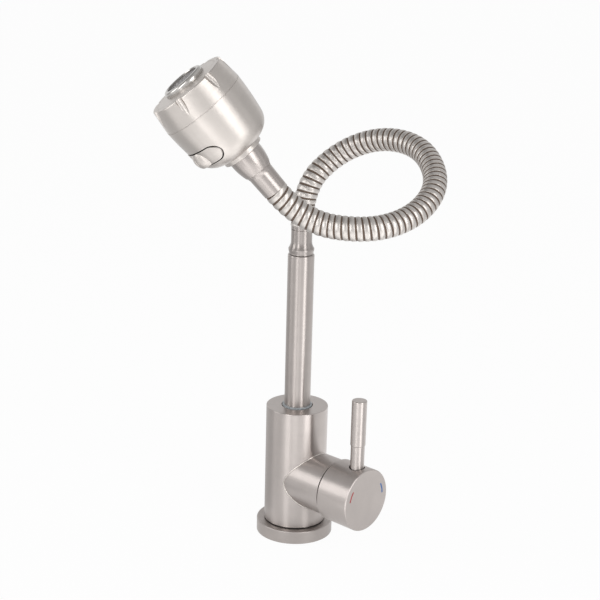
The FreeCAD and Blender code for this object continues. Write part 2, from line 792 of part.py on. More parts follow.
def ribbed(label, start, finish, first_normal):
    """A ribbed tube with its bore between two distances along the route."""
    count = int(round((finish - start) / sheet.get("hose_pitch")))
    pitch = (finish - start) / count
    crest, groove, bore = sheet.get("hose_r"), sheet.get("groove_r"), sheet.get("hose_bore_r")
    rib_shares = ((0.0, groove), (0.12, crest), (0.74, crest), (0.86, groove))
    outer, inner, normal = [], [], first_normal
    _, heading = route_at(pieces, start)

    def circle(distance, radius):
        point, ahead = route_at(pieces, distance)
        loop = Part.Circle(point, ahead, radius)
        loop.XAxis = carried(normal, heading, ahead)
        return Part.Wire(loop.toShape())

    for rib in range(count):
        for share, radius in rib_shares:
            distance = start + (rib + share) * pitch
            _, ahead = route_at(pieces, distance)
            normal = carried(normal, heading, ahead)
            heading = ahead
            outer.append(circle(distance, radius))
            if share == 0.0:
                inner.append(circle(distance, bore))
    _, ahead = route_at(pieces, finish)
    normal = carried(normal, heading, ahead)
    heading = ahead
    outer.append(circle(finish, groove))
    inner.append(circle(finish, bore))
    solid = Part.makeLoft(outer, True, True).cut(Part.makeLoft(inner, True, True))
    solid = solid.Solids[0]
    item = doc.addObject("Part::Feature", label)
    item.Shape = solid
    print("%s: %d ribs, %.0f cubic mm" % (label, count, solid.Volume))
    return item, normal


def least_gap():
    """The least gap between stretches of the hose that are a turn apart."""
    step = sheet.get("hose_pitch")
    spots = [route_at(pieces, step * i)[0] for i in range(int(hose_length / step) + 1)]
    apart = int(math.pi * sheet.get("hose_r") / step) + END_RUNS
    return min((spots[i] - spots[j]).Length for i in range(len(spots))
               for j in range(i + apart, len(spots))) - sheet.get("hose_r") - sheet.get("hose_r")


print("hose least gap to itself, mm: %.2f" % least_gap())
hose_loop, hose_normal = ribbed("hose_loop", 0.0, split_length, FreeCAD.Vector(1, 0, 0))
nodes.append(hose_loop)
hose_end, hose_normal = ribbed("hose_end", split_length, hose_length, hose_normal)
nodes.append(hose_end)

# Spray head, built along its own Z axis and then set on the hose's end
head_turn = FreeCAD.Rotation(UP, HEAD_HEADING).multiply(
    FreeCAD.Rotation(FreeCAD.Vector(0, 1, 0), HEAD_TILT)).multiply(FreeCAD.Rotation(UP, HEAD_SPIN))
head_place = at_point(hose_route[-1], head_turn)


def on_head(placement):
    return head_place.multiply(placement)


nodes.append(lathe("hose_ferrule", [
    ("ferrule_bore_r", ""),
    ("hose_r", ""),
    ("ferrule_neck_r", "ferrule_neck_h", "-ferrule_knee_round"),
    ("ferrule_knee_r", "ferrule_knee_u", "ferrule_bell_round"),
    ("ferrule_bell_r", "ferrule_bell_u"),
    ("ferrule_bell_r", "ferrule_top_u - edge", "edge"),
    ("ferrule_bell_r - edge", "ferrule_top_u"),
    ("ferrule_bore_r", "ferrule_top_u"),
], head_place))
nodes.append(lathe("head_band", [
    ("band_bore_r", "ferrule_top_u"),
    ("ferrule_bell_r - edge - edge", "ferrule_top_u"),
    ("ferrule_bell_r - edge - edge", "band_foot_u"),
    ("band_r - edge", "band_foot_u", "edge"),
    ("band_r", "band_foot_u + edge"),
    ("band_r", "band_top_u - edge", "edge"),
    ("band_r - edge", "band_top_u"),
    ("band_bore_r", "band_top_u"),
], head_place))
dome_blank = lathe("dome_blank", [
    ("band_bore_r", "band_top_u"),
    ("dome_top_r", "band_top_u", "dome_round"),
    ("dome_side_r", "dome_side_u", "dome_sweep"),
    ("dome_r", "seam_u"),
    ("dome_r - dome_wall", "seam_u"),
    ("dome_side_r - dome_wall", "ledge_top_u"),
    ("block_r + gap", "ledge_top_u"),
    ("block_r + gap", "ledge_foot_u"),
    ("dome_side_r - dome_wall", "ledge_foot_u"),
    ("dome_side_r - dome_wall", "dome_side_u"),
    ("shoulder_r", "shoulder_u"),
    ("block_r + gap", "shoulder_u"),
    ("block_r + gap", "block_foot_u"),
    ("band_bore_r", "block_foot_u"),
], head_place)


def slot_form(label, radius):
    """A cutter with round ends, as long as the switch, standing out from the head's side."""
    inner = spot("paddle_reach", "", "paddle_mid_u")
    corner = inner - spot("", "paddle_reach", radius)
    middle = block(label + "_middle", "dome_r", "paddle_span", radius + " + " + radius,
                   on_head(at_point(corner)))
    parts = [middle]
    for side in (-1, 1):
        end_place = on_head(at_point(inner + spot("", "paddle_reach", "") * side, ALONG_X))
        parts.append(rod("%s_end_%d" % (label, side), radius, "dome_r", end_place))
    return joined(label, parts)


hinge_place = on_head(place("hinge_x", "", "hinge_foot_u"))
hinge_len = "hinge_top_u - hinge_foot_u"
hinge_bore = rod("hinge_bore", "hinge_r", hinge_len, hinge_place)
window = slot_form("switch_window", "window_round")
nodes.append(cut("dome_shell", dome_blank, joined("dome_cuts", [window, hinge_bore])))
nodes.append(rod("switch_pin", "hinge_r", hinge_len, hinge_place))
paddle_wings = lathe("paddle_wings", [
    ("paddle_in_r", "paddle_foot_u"),
    ("paddle_foot_r", "paddle_foot_u", "paddle_sweep"),
    ("paddle_top_r", "paddle_top_u"),
    ("paddle_in_r", "paddle_top_u"),
], head_place)
thumb = doc.addObject("Part::Sphere", "thumb_rest")
thumb.setExpression("Radius", bound("thumb_r"))
thumb.Placement = on_head(place("thumb_x", "", "paddle_mid_u"))
thumb_grooves = []
for side in (-1, 0, 1):
    groove_foot = spot("thumb_groove_x", "", "paddle_foot_u") + spot("", "thumb_groove_step", "") * side
    groove_place = on_head(at_point(groove_foot))
    thumb_grooves.append(rod("thumb_groove_%d" % side, "thumb_groove_r", "paddle_h", groove_place))
boss = rod("paddle_boss", "boss_r", "paddle_h", on_head(place("hinge_x", "", "paddle_foot_u")))
paddle_solid = joined("paddle_solid", [paddle_wings, thumb])
paddle_form = common("paddle_form", paddle_solid, slot_form("paddle_slot", "paddle_round"))
head_core = rod("head_core", "paddle_in_r - edge", "seam_u", head_place)
paddle_bore = rod("paddle_bore", "hinge_r + fit", hinge_len, hinge_place)
nodes.append(cut("switch_paddle", joined("paddle_body", [cut("paddle_skin", paddle_form, head_core), boss]),
                 joined("paddle_cuts", [paddle_bore] + thumb_grooves)))
nodes.append(lathe("diverter_block", [
    ("band_bore_r", "block_foot_u"),
    ("block_r", "block_foot_u"),
    ("block_r", "block_top_u"),
    ("band_bore_r", "block_top_u"),
], head_place))
bezel_blank = lathe("bezel_blank", [
    ("bezel_bore_r", "bezel_back_u"),
    ("dome_r - seam_gap", "bezel_back_u", "seam_gap"),
    ("dome_r", "bezel_back_u + seam_gap"),
    ("bezel_front_r", "bezel_front_u - bezel_edge", "bezel_edge"),
    ("bezel_front_r - bezel_edge", "bezel_front_u"),
    ("bezel_bore_r", "bezel_front_u"),
], head_place)


def round_head(label, count, radius, height, far, foot, phase=0.0, lean=0.0):
    """A ring of rods about the head's axis, leaning inwards, to cut with."""
    rods = []
    for number in range(count):
        turn = FreeCAD.Rotation(UP, phase + 360.0 * number / count)
        leaning = turn.multiply(FreeCAD.Rotation(FreeCAD.Vector(0, 1, 0), -lean))
        rods.append(rod("%s_%d" % (label, number), radius, height,
                        on_head(at_point(turn.multVec(spot(far, "", foot)), leaning))))
    return rods


flutes = round_head("flute", FLUTE_COUNT, "flute_r", "flute_len", "flute_axis_r", "flute_foot_u",
                    FLUTE_PHASE, FLUTE_LEAN)
nodes.append(cut("bezel_ring", bezel_blank, joined("bezel_cuts", flutes)))
nodes.append(lathe("face_plate", [
    ("plate_bore_r", "plate_foot_u"),
    ("plate_r", "plate_foot_u"),
    ("plate_r", "bezel_front_u"),
    ("plate_bore_r", "plate_mid_u"),
], head_place))
nodes.append(lathe("spray_nozzle", [
    ("nozzle_bore_r", "nozzle_foot_u"),
    ("nozzle_r", "nozzle_foot_u"),
    ("nozzle_r", "nozzle_shoulder_u", "nozzle_lip"),
    ("nozzle_r - nozzle_lip", "nozzle_top_u"),
    ("nozzle_bore_r + edge", "nozzle_top_u"),
    ("nozzle_bore_r", "nozzle_top_u - edge"),
], head_place))
aerator_blank = rod("aerator_blank", "aerator_r", "aerator_h", on_head(place("", "", "aerator_foot_u")))
drops = round_head("near_drop", NEAR_DROP_COUNT, "drop_r", "aerator_h + edge + edge", "drop_near_r",
                   "aerator_foot_u - edge")
drops += round_head("far_drop", FAR_DROP_COUNT, "drop_r", "aerator_h + edge + edge", "drop_far_r",
                    "aerator_foot_u - edge")
nodes.append(cut("aerator_insert", aerator_blank, joined("aerator_cuts", drops)))

# Checks, then one file for each piece
doc.recompute()
for item in doc.Objects:
    for word in ("Invalid", "Error"):
        if word in item.State:
            raise RuntimeError("%s: %s" % (item.Label, item.State))
os.makedirs("parts", exist_ok=True)
for item in nodes:
    shape = item.Shape
    if shape.isNull() or not shape.isValid() or not shape.Solids:
        raise RuntimeError("%s has no valid solid" % item.Label)
    shape.exportStep("parts/%s.step" % item.Label)
print("%d pieces" % len(nodes))
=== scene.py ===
import math
from bisect import bisect_left

import bmesh
import bpy
from mathutils import Matrix, Vector


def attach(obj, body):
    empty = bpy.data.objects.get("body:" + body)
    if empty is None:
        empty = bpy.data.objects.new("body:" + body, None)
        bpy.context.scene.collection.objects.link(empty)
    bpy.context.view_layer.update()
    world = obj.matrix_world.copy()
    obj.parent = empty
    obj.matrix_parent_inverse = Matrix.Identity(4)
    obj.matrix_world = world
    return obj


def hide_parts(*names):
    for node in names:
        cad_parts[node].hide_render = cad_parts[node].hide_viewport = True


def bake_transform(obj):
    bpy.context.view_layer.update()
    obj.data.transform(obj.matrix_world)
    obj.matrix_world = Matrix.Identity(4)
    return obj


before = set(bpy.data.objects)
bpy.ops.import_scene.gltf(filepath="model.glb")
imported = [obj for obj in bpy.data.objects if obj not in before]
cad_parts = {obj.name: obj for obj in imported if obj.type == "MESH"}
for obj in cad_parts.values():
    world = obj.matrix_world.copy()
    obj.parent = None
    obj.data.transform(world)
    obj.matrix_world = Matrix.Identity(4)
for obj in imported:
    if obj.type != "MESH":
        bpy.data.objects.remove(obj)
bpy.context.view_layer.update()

# A flexible kitchen faucet in brushed steel. Metres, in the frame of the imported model.

# Camera, fitted to the photograph
CAMERA_AT = (0.6496, -0.7015, 0.4571)
CAMERA_AZIMUTH = math.radians(42.8)
CAMERA_PITCH = math.radians(16.2775)
CAMERA_ROLL = math.radians(1.5114)
CAMERA_LENS = 83.54
CAMERA_SENSOR = 36.0
CAMERA_NEAR = 0.01

# The hose's route from the top of its crimp, as in the part's source
HOSE_FOOT_Z = 0.233
HOSE_ROUTE = [
    (0.0, 0.0, 0.0),
    (0.0, 0.0, 0.027),
    (0.0106, 0.0241, 0.051),
    (0.0419, 0.0347, 0.0648),
    (0.0793, 0.0327, 0.0625),
    (0.1108, 0.011, 0.0454),
    (0.1148, -0.017, 0.0283),
    (0.1026, -0.0497, 0.0212),
    (0.065034, -0.070617, 0.024716),
    (0.05435, -0.0845, 0.04526),
]
ROUTE_ORDER = 3
ROUTE_STEPS = 48
# Where the hose's end piece starts
HOSE_SPLIT = (0.0821, -0.0611, 0.2561)

# The strip that the hose is wound from: a crowned rib, then a groove with a flat floor
HOSE_RADIUS = 0.008
GROOVE_RADIUS = 0.0075
HOSE_SIDES = 44
# How much of its height the rib loses towards its edges, and how many steps its crown has
RIB_CROWN = 0.5
RIB_ROWS = 10
# Shares of one turn: where the groove starts, and how wide each of its walls is
GROOVE_SHARE = 0.71
GROOVE_WALL = 0.04
# Its pitch at shares of the hose's length: the ribs close up and spread a little as it bends
PITCHES = [
    (0.0, 0.0041),
    (0.1, 0.0044),
    (0.15, 0.0048),
    (0.35, 0.0048),
    (0.45, 0.0046),
    (0.55, 0.004),
    (0.65, 0.0042),
    (0.75, 0.004),
    (0.85, 0.0043),
    (0.95, 0.0049),
    (1.0, 0.0049),
]
# Points nearer than the first length become one, and edges under the second one go
SAME_POINT = 1e-7
SHORTEST_EDGE = 1e-8

# The spray head's own axes
HEAD_HEADING = math.radians(-127.58)
HEAD_TILT = math.radians(40.45)
HEAD_SPIN = math.radians(28.8)

# The bead where the housing's round meets the body's
BODY_RADIUS = 0.0225
HOUSING_RADIUS = 0.021
VALVE_Z = 0.0447
FILLET_RADIUS = 0.0006
FILLET_STEPS = 160
FILLET_SIDES = 10

# The ring that fills most of the seam between the dome and the bezel's chamfer
SEAM_LOW = 0.07032
SEAM_FOOT = 0.0706
SEAM_HIGH = 0.0707
SEAM_RADIUS = 0.02778
SEAM_CHAMFER = 0.02755
SEAM_INNER = 0.0262
SEAM_SIDES = 160

# Colours, as linear values
STEEL = (0.47, 0.43, 0.41)
SATIN = (0.556, 0.518, 0.488)
STRIP = (0.52, 0.49, 0.465)
TUBE = (0.405, 0.37, 0.352)
COLLAR = (0.345, 0.315, 0.3)
FLANGE = (0.39, 0.356, 0.338)
GROOVE = (0.12, 0.085, 0.065)
CHROME = (0.5, 0.48, 0.46)
BRASS = (0.6, 0.42, 0.18)
# Brass darkened far below its own colour: painted shade, so that the cartridge nut shows as the shadowed
# ring in the gap between the valve housing and the handle cap
SHADE_PAINTED_BRASS = (0.085, 0.07, 0.055)
PLAIN = (0.4, 0.39, 0.38)
NYLON = (0.4, 0.43, 0.45)
GREY = (0.28, 0.27, 0.27)
RUBBER = (0.03, 0.027, 0.025)
RED = (0.42, 0.04, 0.045)
BLUE = (0.03, 0.13, 0.4)
WHITE = (1.0, 1.0, 1.0, 1.0)
FLOOR_COLOUR = (0.9, 0.9, 0.9, 1.0)

# Brush lines: repeats per metre across and along them, and their noise's detail and roughness
BRUSH_FINE = 900.0
BRUSH_LONG = 40.0
BRUSH_DETAIL = 3.0
BRUSH_ROUGHNESS = 0.7
# Other patterns: repeats per metre on three axes, detail and roughness
WEAR = ((70.0, 70.0, 110.0), 3.0, 0.5)
GRAIN = ((1500.0, 1500.0, 1500.0), 2.0, 0.5)
MOTTLE = ((160.0, 160.0, 160.0), 2.0, 0.5)
# How far a pattern changes colour, roughness and height
WEAR_TINT = 0.03
MOTTLE_TINT = 0.06
GRAIN_UNEVEN = 0.04
GRAIN_RELIEF = 0.1
RELIEF_DEPTH = 0.00003
# Most values of a noise lie between these
NOISE_LOW = 0.3
NOISE_HIGH = 0.7
# Stretched highlights fade out on faces that look along the brushing's axis, between these cosines
SIDE_FACE = 0.55
END_FACE = 0.9

# Turns that bring an axis to Z: brush lines run round that axis
ABOUT_Z = (0.0, 0.0, 0.0)
ABOUT_X = (0.0, math.radians(-90), 0.0)
# Axes of the brushing, each a little off, so that no face lies square to one
Z_AXIS = (0.02, 0.0, 1.0)
X_AXIS = (1.0, 0.0, 0.02)

# Studio: a white surround, a pale floor that keeps a faint shadow, and soft lamps
LAMP_AIM = Vector((0.03, -0.03, 0.17))
SURROUND = 0.45
FLOOR_GLOW = 0.96
FLOOR_SIDE = 6.0
CEILING_SIDE = 1.6
CEILING_HEIGHT = 1.5
CEILING_GLOW = 0.7
SHEET_HEIGHT = 0.001
# Lamps: degrees from the camera's side, distance, height over the aim, width, tallness, brightness
LAMPS = {
    "left_box": (-32, 1.4, 0.5, 0.5, 1.5, 2.4),
    "right_box": (42, 1.4, 0.5, 0.55, 1.5, 2.8),
    "side_box": (-85, 1.3, 0.4, 0.7, 0.7, 1.9),
}
# Upright cards that only reflections see, in the same terms
CARDS = {
    "right_card": (70, 1.1, 0.2, 0.2, 1.6, 0.75),
    "left_card": (-110, 1.1, 0.2, 0.6, 1.6, 0.6),
    "right_back": (120, 1.0, 0.35, 0.9, 1.0, 0.75),
    "back": (180, 1.3, 0.3, 1.4, 1.0, 0.85),
}
# Level sheets that only reflections see: degrees from and to, distances from and to, height, brightness
SHEETS = {
    "left_ceiling": (-170, -60, 0.35, 1.9, 1.45, 0.38),
    "left_floor": (-18, 4, 0.1, 0.9, SHEET_HEIGHT, 2.0),
    "left_mid_floor": (-36, -18, 0.15, 0.42, SHEET_HEIGHT, 1.75),
    "left_near_floor": (-60, -36, 0.1, 0.42, SHEET_HEIGHT, 1.35),
    "front_floor": (4, 34, 0.1, 0.9, SHEET_HEIGHT, 1.6),
    "right_floor": (34, 56, 0.1, 0.9, SHEET_HEIGHT, 2.5),
    "right_back_floor": (100, 160, 0.1, 0.9, SHEET_HEIGHT, 1.25),
    "left_back_floor": (-165, -75, 0.1, 0.9, SHEET_HEIGHT, 0.7),
}


def linked(name, data):
    """A new object in the scene."""
    item = bpy.data.objects.new(name, data)
    bpy.context.scene.collection.objects.link(item)
    return item


def mesh_piece(name, bm, *materials):
    """A new object from a bmesh, with its faces turned outwards."""
    bmesh.ops.recalc_face_normals(bm, faces=bm.faces)
    mesh = bpy.data.meshes.new(name)
    bm.to_mesh(mesh)
    bm.free()
    for material in materials:
        mesh.materials.append(material)
    return linked(name, mesh)


def head_matrix():
    """The spray head's axes in the row frame."""
    out = Matrix.Rotation(HEAD_HEADING, 3, "Z") @ Matrix.Rotation(HEAD_TILT, 3, "Y")
    return out @ Matrix.Rotation(HEAD_SPIN, 3, "Z")


def cleared_tree(owner):
    """The node tree of a material or a world, emptied."""
    owner.use_nodes = True
    tree = owner.node_tree
    tree.nodes.clear()
    return tree


def new_node(tree, kind, values=None):
    """A new node, with some of its sockets set."""
    node = tree.nodes.new(kind)
    for socket, value in (values or {}).items():
        node.inputs[socket].default_value = value
    return node


def surface(name, metal):
    """A new material with only a shader and an output, as (material, tree, shader)."""
    material = bpy.data.materials.new(name)
    tree = cleared_tree(material)
    output = new_node(tree, "ShaderNodeOutputMaterial")
    shader = new_node(tree, "ShaderNodeBsdfPrincipled", {"Metallic": metal})
    tree.links.new(shader.outputs["BSDF"], output.inputs["Surface"])
    return material, tree, shader


def noise(tree, turn, scale, detail, roughness):
    """Noise in the row frame, turned and then stretched, as a factor socket."""
    place = new_node(tree, "ShaderNodeTexCoord")
    turned = new_node(tree, "ShaderNodeMapping", {"Rotation": turn})
    stretched = new_node(tree, "ShaderNodeMapping", {"Scale": scale})
    values = {"Scale": 1.0, "Detail": detail, "Roughness": roughness}
    pattern = new_node(tree, "ShaderNodeTexNoise", values)
    tree.links.new(place.outputs["Object"], turned.inputs["Vector"])
    tree.links.new(turned.outputs["Vector"], stretched.inputs["Vector"])
    tree.links.new(stretched.outputs["Vector"], pattern.inputs["Vector"])
    return pattern.outputs["Fac"]


def ranged(tree, factor, low, high, least=NOISE_LOW, most=NOISE_HIGH):
    """A factor brought from one range into another."""
    values = {"From Min": least, "From Max": most, "To Min": low, "To Max": high}
    spread = new_node(tree, "ShaderNodeMapRange", values)
    tree.links.new(factor, spread.inputs["Value"])
    return spread.outputs["Result"]


def tinted(tree, shader, factor, colour, spread):
    """Give the shader a colour that varies a little with a factor."""
    mix = new_node(tree, "ShaderNodeMix")
    mix.data_type = "RGBA"
    mix.inputs["A"].default_value = (*(c * (1 - spread) for c in colour), 1)
    mix.inputs["B"].default_value = (*(c * (1 + spread) for c in colour), 1)
    tree.links.new(ranged(tree, factor, 0.0, 1.0), mix.inputs["Factor"])
    tree.links.new(mix.outputs["Result"], shader.inputs["Base Color"])


def grained(tree, shader, factor, rough, uneven, relief):
    """Give the shader a roughness and a slight relief that follow a factor."""
    tree.links.new(ranged(tree, factor, rough - uneven, rough + uneven), shader.inputs["Roughness"])
    bump = new_node(tree, "ShaderNodeBump", {"Strength": relief, "Distance": RELIEF_DEPTH})
    tree.links.new(factor, bump.inputs["Height"])
    tree.links.new(bump.outputs["Normal"], shader.inputs["Normal"])


def along_axis(tree, shader, axis, stretch):
    """Stretch highlights along an axis, as brushing round it does, but not on faces across it."""
    place = new_node(tree, "ShaderNodeTexCoord")
    facing = new_node(tree, "ShaderNodeVectorMath", {1: axis})
    facing.operation = "DOT_PRODUCT"
    size = new_node(tree, "ShaderNodeMath")
    size.operation = "ABSOLUTE"
    tree.links.new(place.outputs["Normal"], facing.inputs[0])
    tree.links.new(facing.outputs["Value"], size.inputs[0])
    fade = ranged(tree, size.outputs[0], stretch, 0.0, SIDE_FACE, END_FACE)
    tree.links.new(fade, shader.inputs["Anisotropic"])
    direction = new_node(tree, "ShaderNodeCombineXYZ", dict(zip("XYZ", axis)))
    carried = new_node(tree, "ShaderNodeVectorTransform")
    carried.vector_type = "VECTOR"
    carried.convert_from = "OBJECT"
    carried.convert_to = "WORLD"
    tree.links.new(direction.outputs["Vector"], carried.inputs["Vector"])
    tree.links.new(carried.outputs["Vector"], shader.inputs["Tangent"])


def brushed(name, colour, turn, rough, axis=None, stretch=0.9, long=BRUSH_LONG, relief=0.02, uneven=0.03):
    """Metal with fine brush lines round an axis, cloudy wear and uneven roughness."""
    material, tree, shader = surface(name, 1.0)
    lines = noise(tree, turn, (long, long, BRUSH_FINE), BRUSH_DETAIL, BRUSH_ROUGHNESS)
    tinted(tree, shader, noise(tree, turn, *WEAR), colour, WEAR_TINT)
    grained(tree, shader, lines, rough, uneven, relief)
    if axis:
        along_axis(tree, shader, axis, stretch)
    return material


def moulded(name, colour, rough, metal=0.0):
    """Plastic, rubber, enamel or plain metal with a fine grain."""
    material, tree, shader = surface(name, metal)
    tinted(tree, shader, noise(tree, ABOUT_Z, *MOTTLE), colour, MOTTLE_TINT)
    grained(tree, shader, noise(tree, ABOUT_Z, *GRAIN), rough, GRAIN_UNEVEN, GRAIN_RELIEF)
    return material


HEAD_AXIS = tuple(head_matrix() @ Vector(Z_AXIS))
ABOUT_HEAD = tuple(head_matrix().inverted().to_euler())
upright = brushed("steel_upright", STEEL, ABOUT_Z, 0.34, Z_AXIS)
tube_steel = brushed("steel_tube", TUBE, ABOUT_Z, 0.32, Z_AXIS)
collar_steel = brushed("steel_collar", COLLAR, ABOUT_Z, 0.3, Z_AXIS)
sideways = brushed("steel_sideways", STEEL, ABOUT_X, 0.36, X_AXIS)
flange_steel = brushed("steel_flange", FLANGE, ABOUT_Z, 0.4, Z_AXIS, 0.5)
satin = brushed("satin_head", SATIN, ABOUT_HEAD, 0.36, HEAD_AXIS, relief=0.005)
ferrule_steel = brushed("steel_ferrule", TUBE, ABOUT_HEAD, 0.26, HEAD_AXIS, relief=0.005)
strip = brushed("hose_strip", STRIP, ABOUT_Z, 0.36, long=BRUSH_FINE, relief=0.001, uneven=0.01)
polished = brushed("steel_fillet", SATIN, ABOUT_Z, 0.25)
groove = moulded("hose_groove", GROOVE, 0.55, 0.6)
chrome = moulded("chrome", CHROME, 0.16, 1.0)
brass = moulded("brass", BRASS, 0.35, 1.0)
# Painted shade: near-black brass for the ring in the gap between housing and cap
brass_painted_shade = moulded("brass_painted_shade", SHADE_PAINTED_BRASS, 0.55, 0.7)
plain = moulded("plain_steel", PLAIN, 0.35, 1.0)
nylon = moulded("nylon", NYLON, 0.4)
grey = moulded("grey_plastic", GREY, 0.5)
rubber = moulded("rubber", RUBBER, 0.6)
red = moulded("red_enamel", RED, 0.3)
blue = moulded("blue_enamel", BLUE, 0.3)

FINISHES = [
    (upright, ("faucet_body", "lever_pin", "lever_grip")),
    (sideways, ("valve_housing", "handle_cap")),
    (flange_steel, ("base_flange",)),
    (tube_steel, ("riser_tube",)),
    (collar_steel, ("collar_nut", "hose_crimp")),
    (strip, ("hose_loop", "hose_end")),
    (ferrule_steel, ("hose_ferrule",)),
    (satin, ("head_band", "dome_shell", "switch_paddle", "bezel_ring", "face_plate")),
    (chrome, ("spray_nozzle",)),
    (brass, ("base_insert", "cartridge_stem", "spout_spigot")),
    # The cartridge nut gets the painted shade of the gap between housing and cap
    (brass_painted_shade, ("cartridge_nut",)),
    (plain, ("stem_pin", "cap_screw", "spout_screw", "switch_pin")),
    (nylon, ("spout_bearing",)),
    (grey, ("cartridge_body", "cartridge_rotor", "diverter_block", "aerator_insert")),
    (rubber, ("deck_gasket", "body_seal", "spigot_ring_low", "spigot_ring_high")),
    (red, ("mark_red",)),
    (blue, ("mark_blue",)),
]


def dress_nodes():
    """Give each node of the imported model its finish."""
    for finish, names in FINISHES:
        for name in names:
            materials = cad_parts[name].data.materials
            materials.clear()
            materials.append(finish)


def hose_line():
    """Points along the hose's middle, read from the NURBS spline of its route, with their lengths."""
    curve = bpy.data.curves.new("hose_route", "CURVE")
    curve.dimensions = "3D"
    curve.resolution_u = ROUTE_STEPS
    spline = curve.splines.new("NURBS")
    spline.points.add(len(HOSE_ROUTE) - 1)
    for point, (x, y, z) in zip(spline.points, HOSE_ROUTE):
        point.co = (x, y, z + HOSE_FOOT_Z, 1.0)
    spline.order_u = ROUTE_ORDER
    spline.use_endpoint_u = True
    carrier = linked("hose_route", curve)
    bpy.context.view_layer.update()
    mesh = bpy.data.meshes.new_from_object(carrier)
    points = [vertex.co.copy() for vertex in mesh.vertices]
    bpy.data.objects.remove(carrier)
    bpy.data.curves.remove(curve)
    bpy.data.meshes.remove(mesh)
    lengths = [0.0]
    for before, after in zip(points, points[1:]):
        lengths.append(lengths[-1] + (after - before).length)
    return points, lengths


def carried_frames(points):
    """The direction and a normal at each point, carried along without twist."""
    befores = [points[0], *points[:-1]]
    afters = [*points[1:], points[-1]]
    ahead = [(after - before).normalized() for before, after in zip(befores, afters)]
    normals = [Vector((1.0, 0.0, 0.0))]
    for before, after in zip(ahead, ahead[1:]):
        normals.append((before.rotation_difference(after) @ normals[-1]).normalized())
    return ahead, normals


def pitch_at(share):
    """The strip's pitch at a share of the hose's length."""
    for (low, first), (high, second) in zip(PITCHES, PITCHES[1:]):
        if share <= high:
            return first + (second - first) * (share - low) / (high - low)
    return PITCHES[-1][1]


def wound_turns(lengths):
    """How many turns the strip has made at each point of the line."""
    turns = [0.0]
    for before, after in zip(lengths, lengths[1:]):
        turns.append(turns[-1] + (after - before) / pitch_at((before + after) / 2 / lengths[-1]))
    return turns


def rib_radius(turns):
    """The hose's radius at a number of turns of the strip."""
    share = turns % 1.0
    if share < GROOVE_SHARE:
        rise = 1 - RIB_CROWN * (2 * share / GROOVE_SHARE - 1) ** 2
    else:
        from_edge = min(share - GROOVE_SHARE, 1 - share)
        rise = (1 - RIB_CROWN) * max(0.0, 1 - from_edge / GROOVE_WALL)
    return GROOVE_RADIUS + (HOSE_RADIUS - GROOVE_RADIUS) * rise


def strip_rows():
    """The shares of a turn at which the strip has points: over the rib and along the groove's floor."""
    rib = [GROOVE_SHARE * row / RIB_ROWS for row in range(RIB_ROWS + 1)]
    return [*rib, GROOVE_SHARE + GROOVE_WALL, 1 - GROOVE_WALL]


def place_at(line, turns, wound):
    """The hose's middle, direction and normal where the strip has made a number of turns."""
    at = min(max(bisect_left(turns, wound) - 1, 0), len(turns) - 2)
    part = (wound - turns[at]) / (turns[at + 1] - turns[at])
    middle, heading, out = (values[at].lerp(values[at + 1], part) for values in line)
    heading.normalize()
    return middle, heading, (out - heading * out.dot(heading)).normalized()


def strip_grid(bm, points, turns, start, finish, shares):
    """Rows of points that follow the strip round its helix, between two turns."""
    line = (points, *carried_frames(points))
    grid = []
    for turn in range(math.floor(start) - 1, math.ceil(finish) + 1):
        for share in shares:
            row = []
            for side in range(HOSE_SIDES):
                angle = math.tau * side / HOSE_SIDES
                wound = min(max(turn + share + side / HOSE_SIDES, start), finish)
                middle, heading, out = place_at(line, turns, wound)
                arm = out * math.cos(angle) + heading.cross(out) * math.sin(angle)
                row.append(bm.verts.new(middle + arm * rib_radius(wound - side / HOSE_SIDES)))
            grid.append(row)
    return grid


def hose_piece(name, points, turns, start, finish):
    """A stretch of the strip-wound hose between two turns, closed at its ends."""
    shares = strip_rows()
    bm = bmesh.new()
    grid = strip_grid(bm, points, turns, start, finish, shares)
    for i in range(len(grid) - 1):
        for j in range(HOSE_SIDES):
            # The last column meets the first one a whole turn further along
            lap = len(shares) if j == HOSE_SIDES - 1 else 0
            if i + 1 + lap >= len(grid):
                continue
            after = (j + 1) % HOSE_SIDES
            corners = (grid[i][j], grid[i + lap][after], grid[i + 1 + lap][after], grid[i + 1][j])
            face = bm.faces.new(corners)
            face.smooth = True
            face.material_index = 1 if shares[i % len(shares)] >= GROOVE_SHARE else 0
    bmesh.ops.remove_doubles(bm, verts=bm.verts, dist=SAME_POINT)
    bmesh.ops.dissolve_degenerate(bm, edges=bm.edges, dist=SHORTEST_EDGE)
    bmesh.ops.holes_fill(bm, edges=[edge for edge in bm.edges if edge.is_boundary])
    return mesh_piece(name, bm, strip, groove)


def make_hose():
    """The hose in two pieces: a loop that stands by itself, attached to the spout, and an end piece."""
    points, lengths = hose_line()
    turns = wound_turns(lengths)
    split = min(range(len(points)), key=lambda i: (points[i] - Vector(HOSE_SPLIT)).length)
    loop = hose_piece("wound_hose", points, turns, turns[0], turns[split])
    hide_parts("hose_loop")
    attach(loop, "spout")
    end = hose_piece("wound_hose_end", points, turns, turns[split], turns[-1])
    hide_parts("hose_end")
    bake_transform(end)


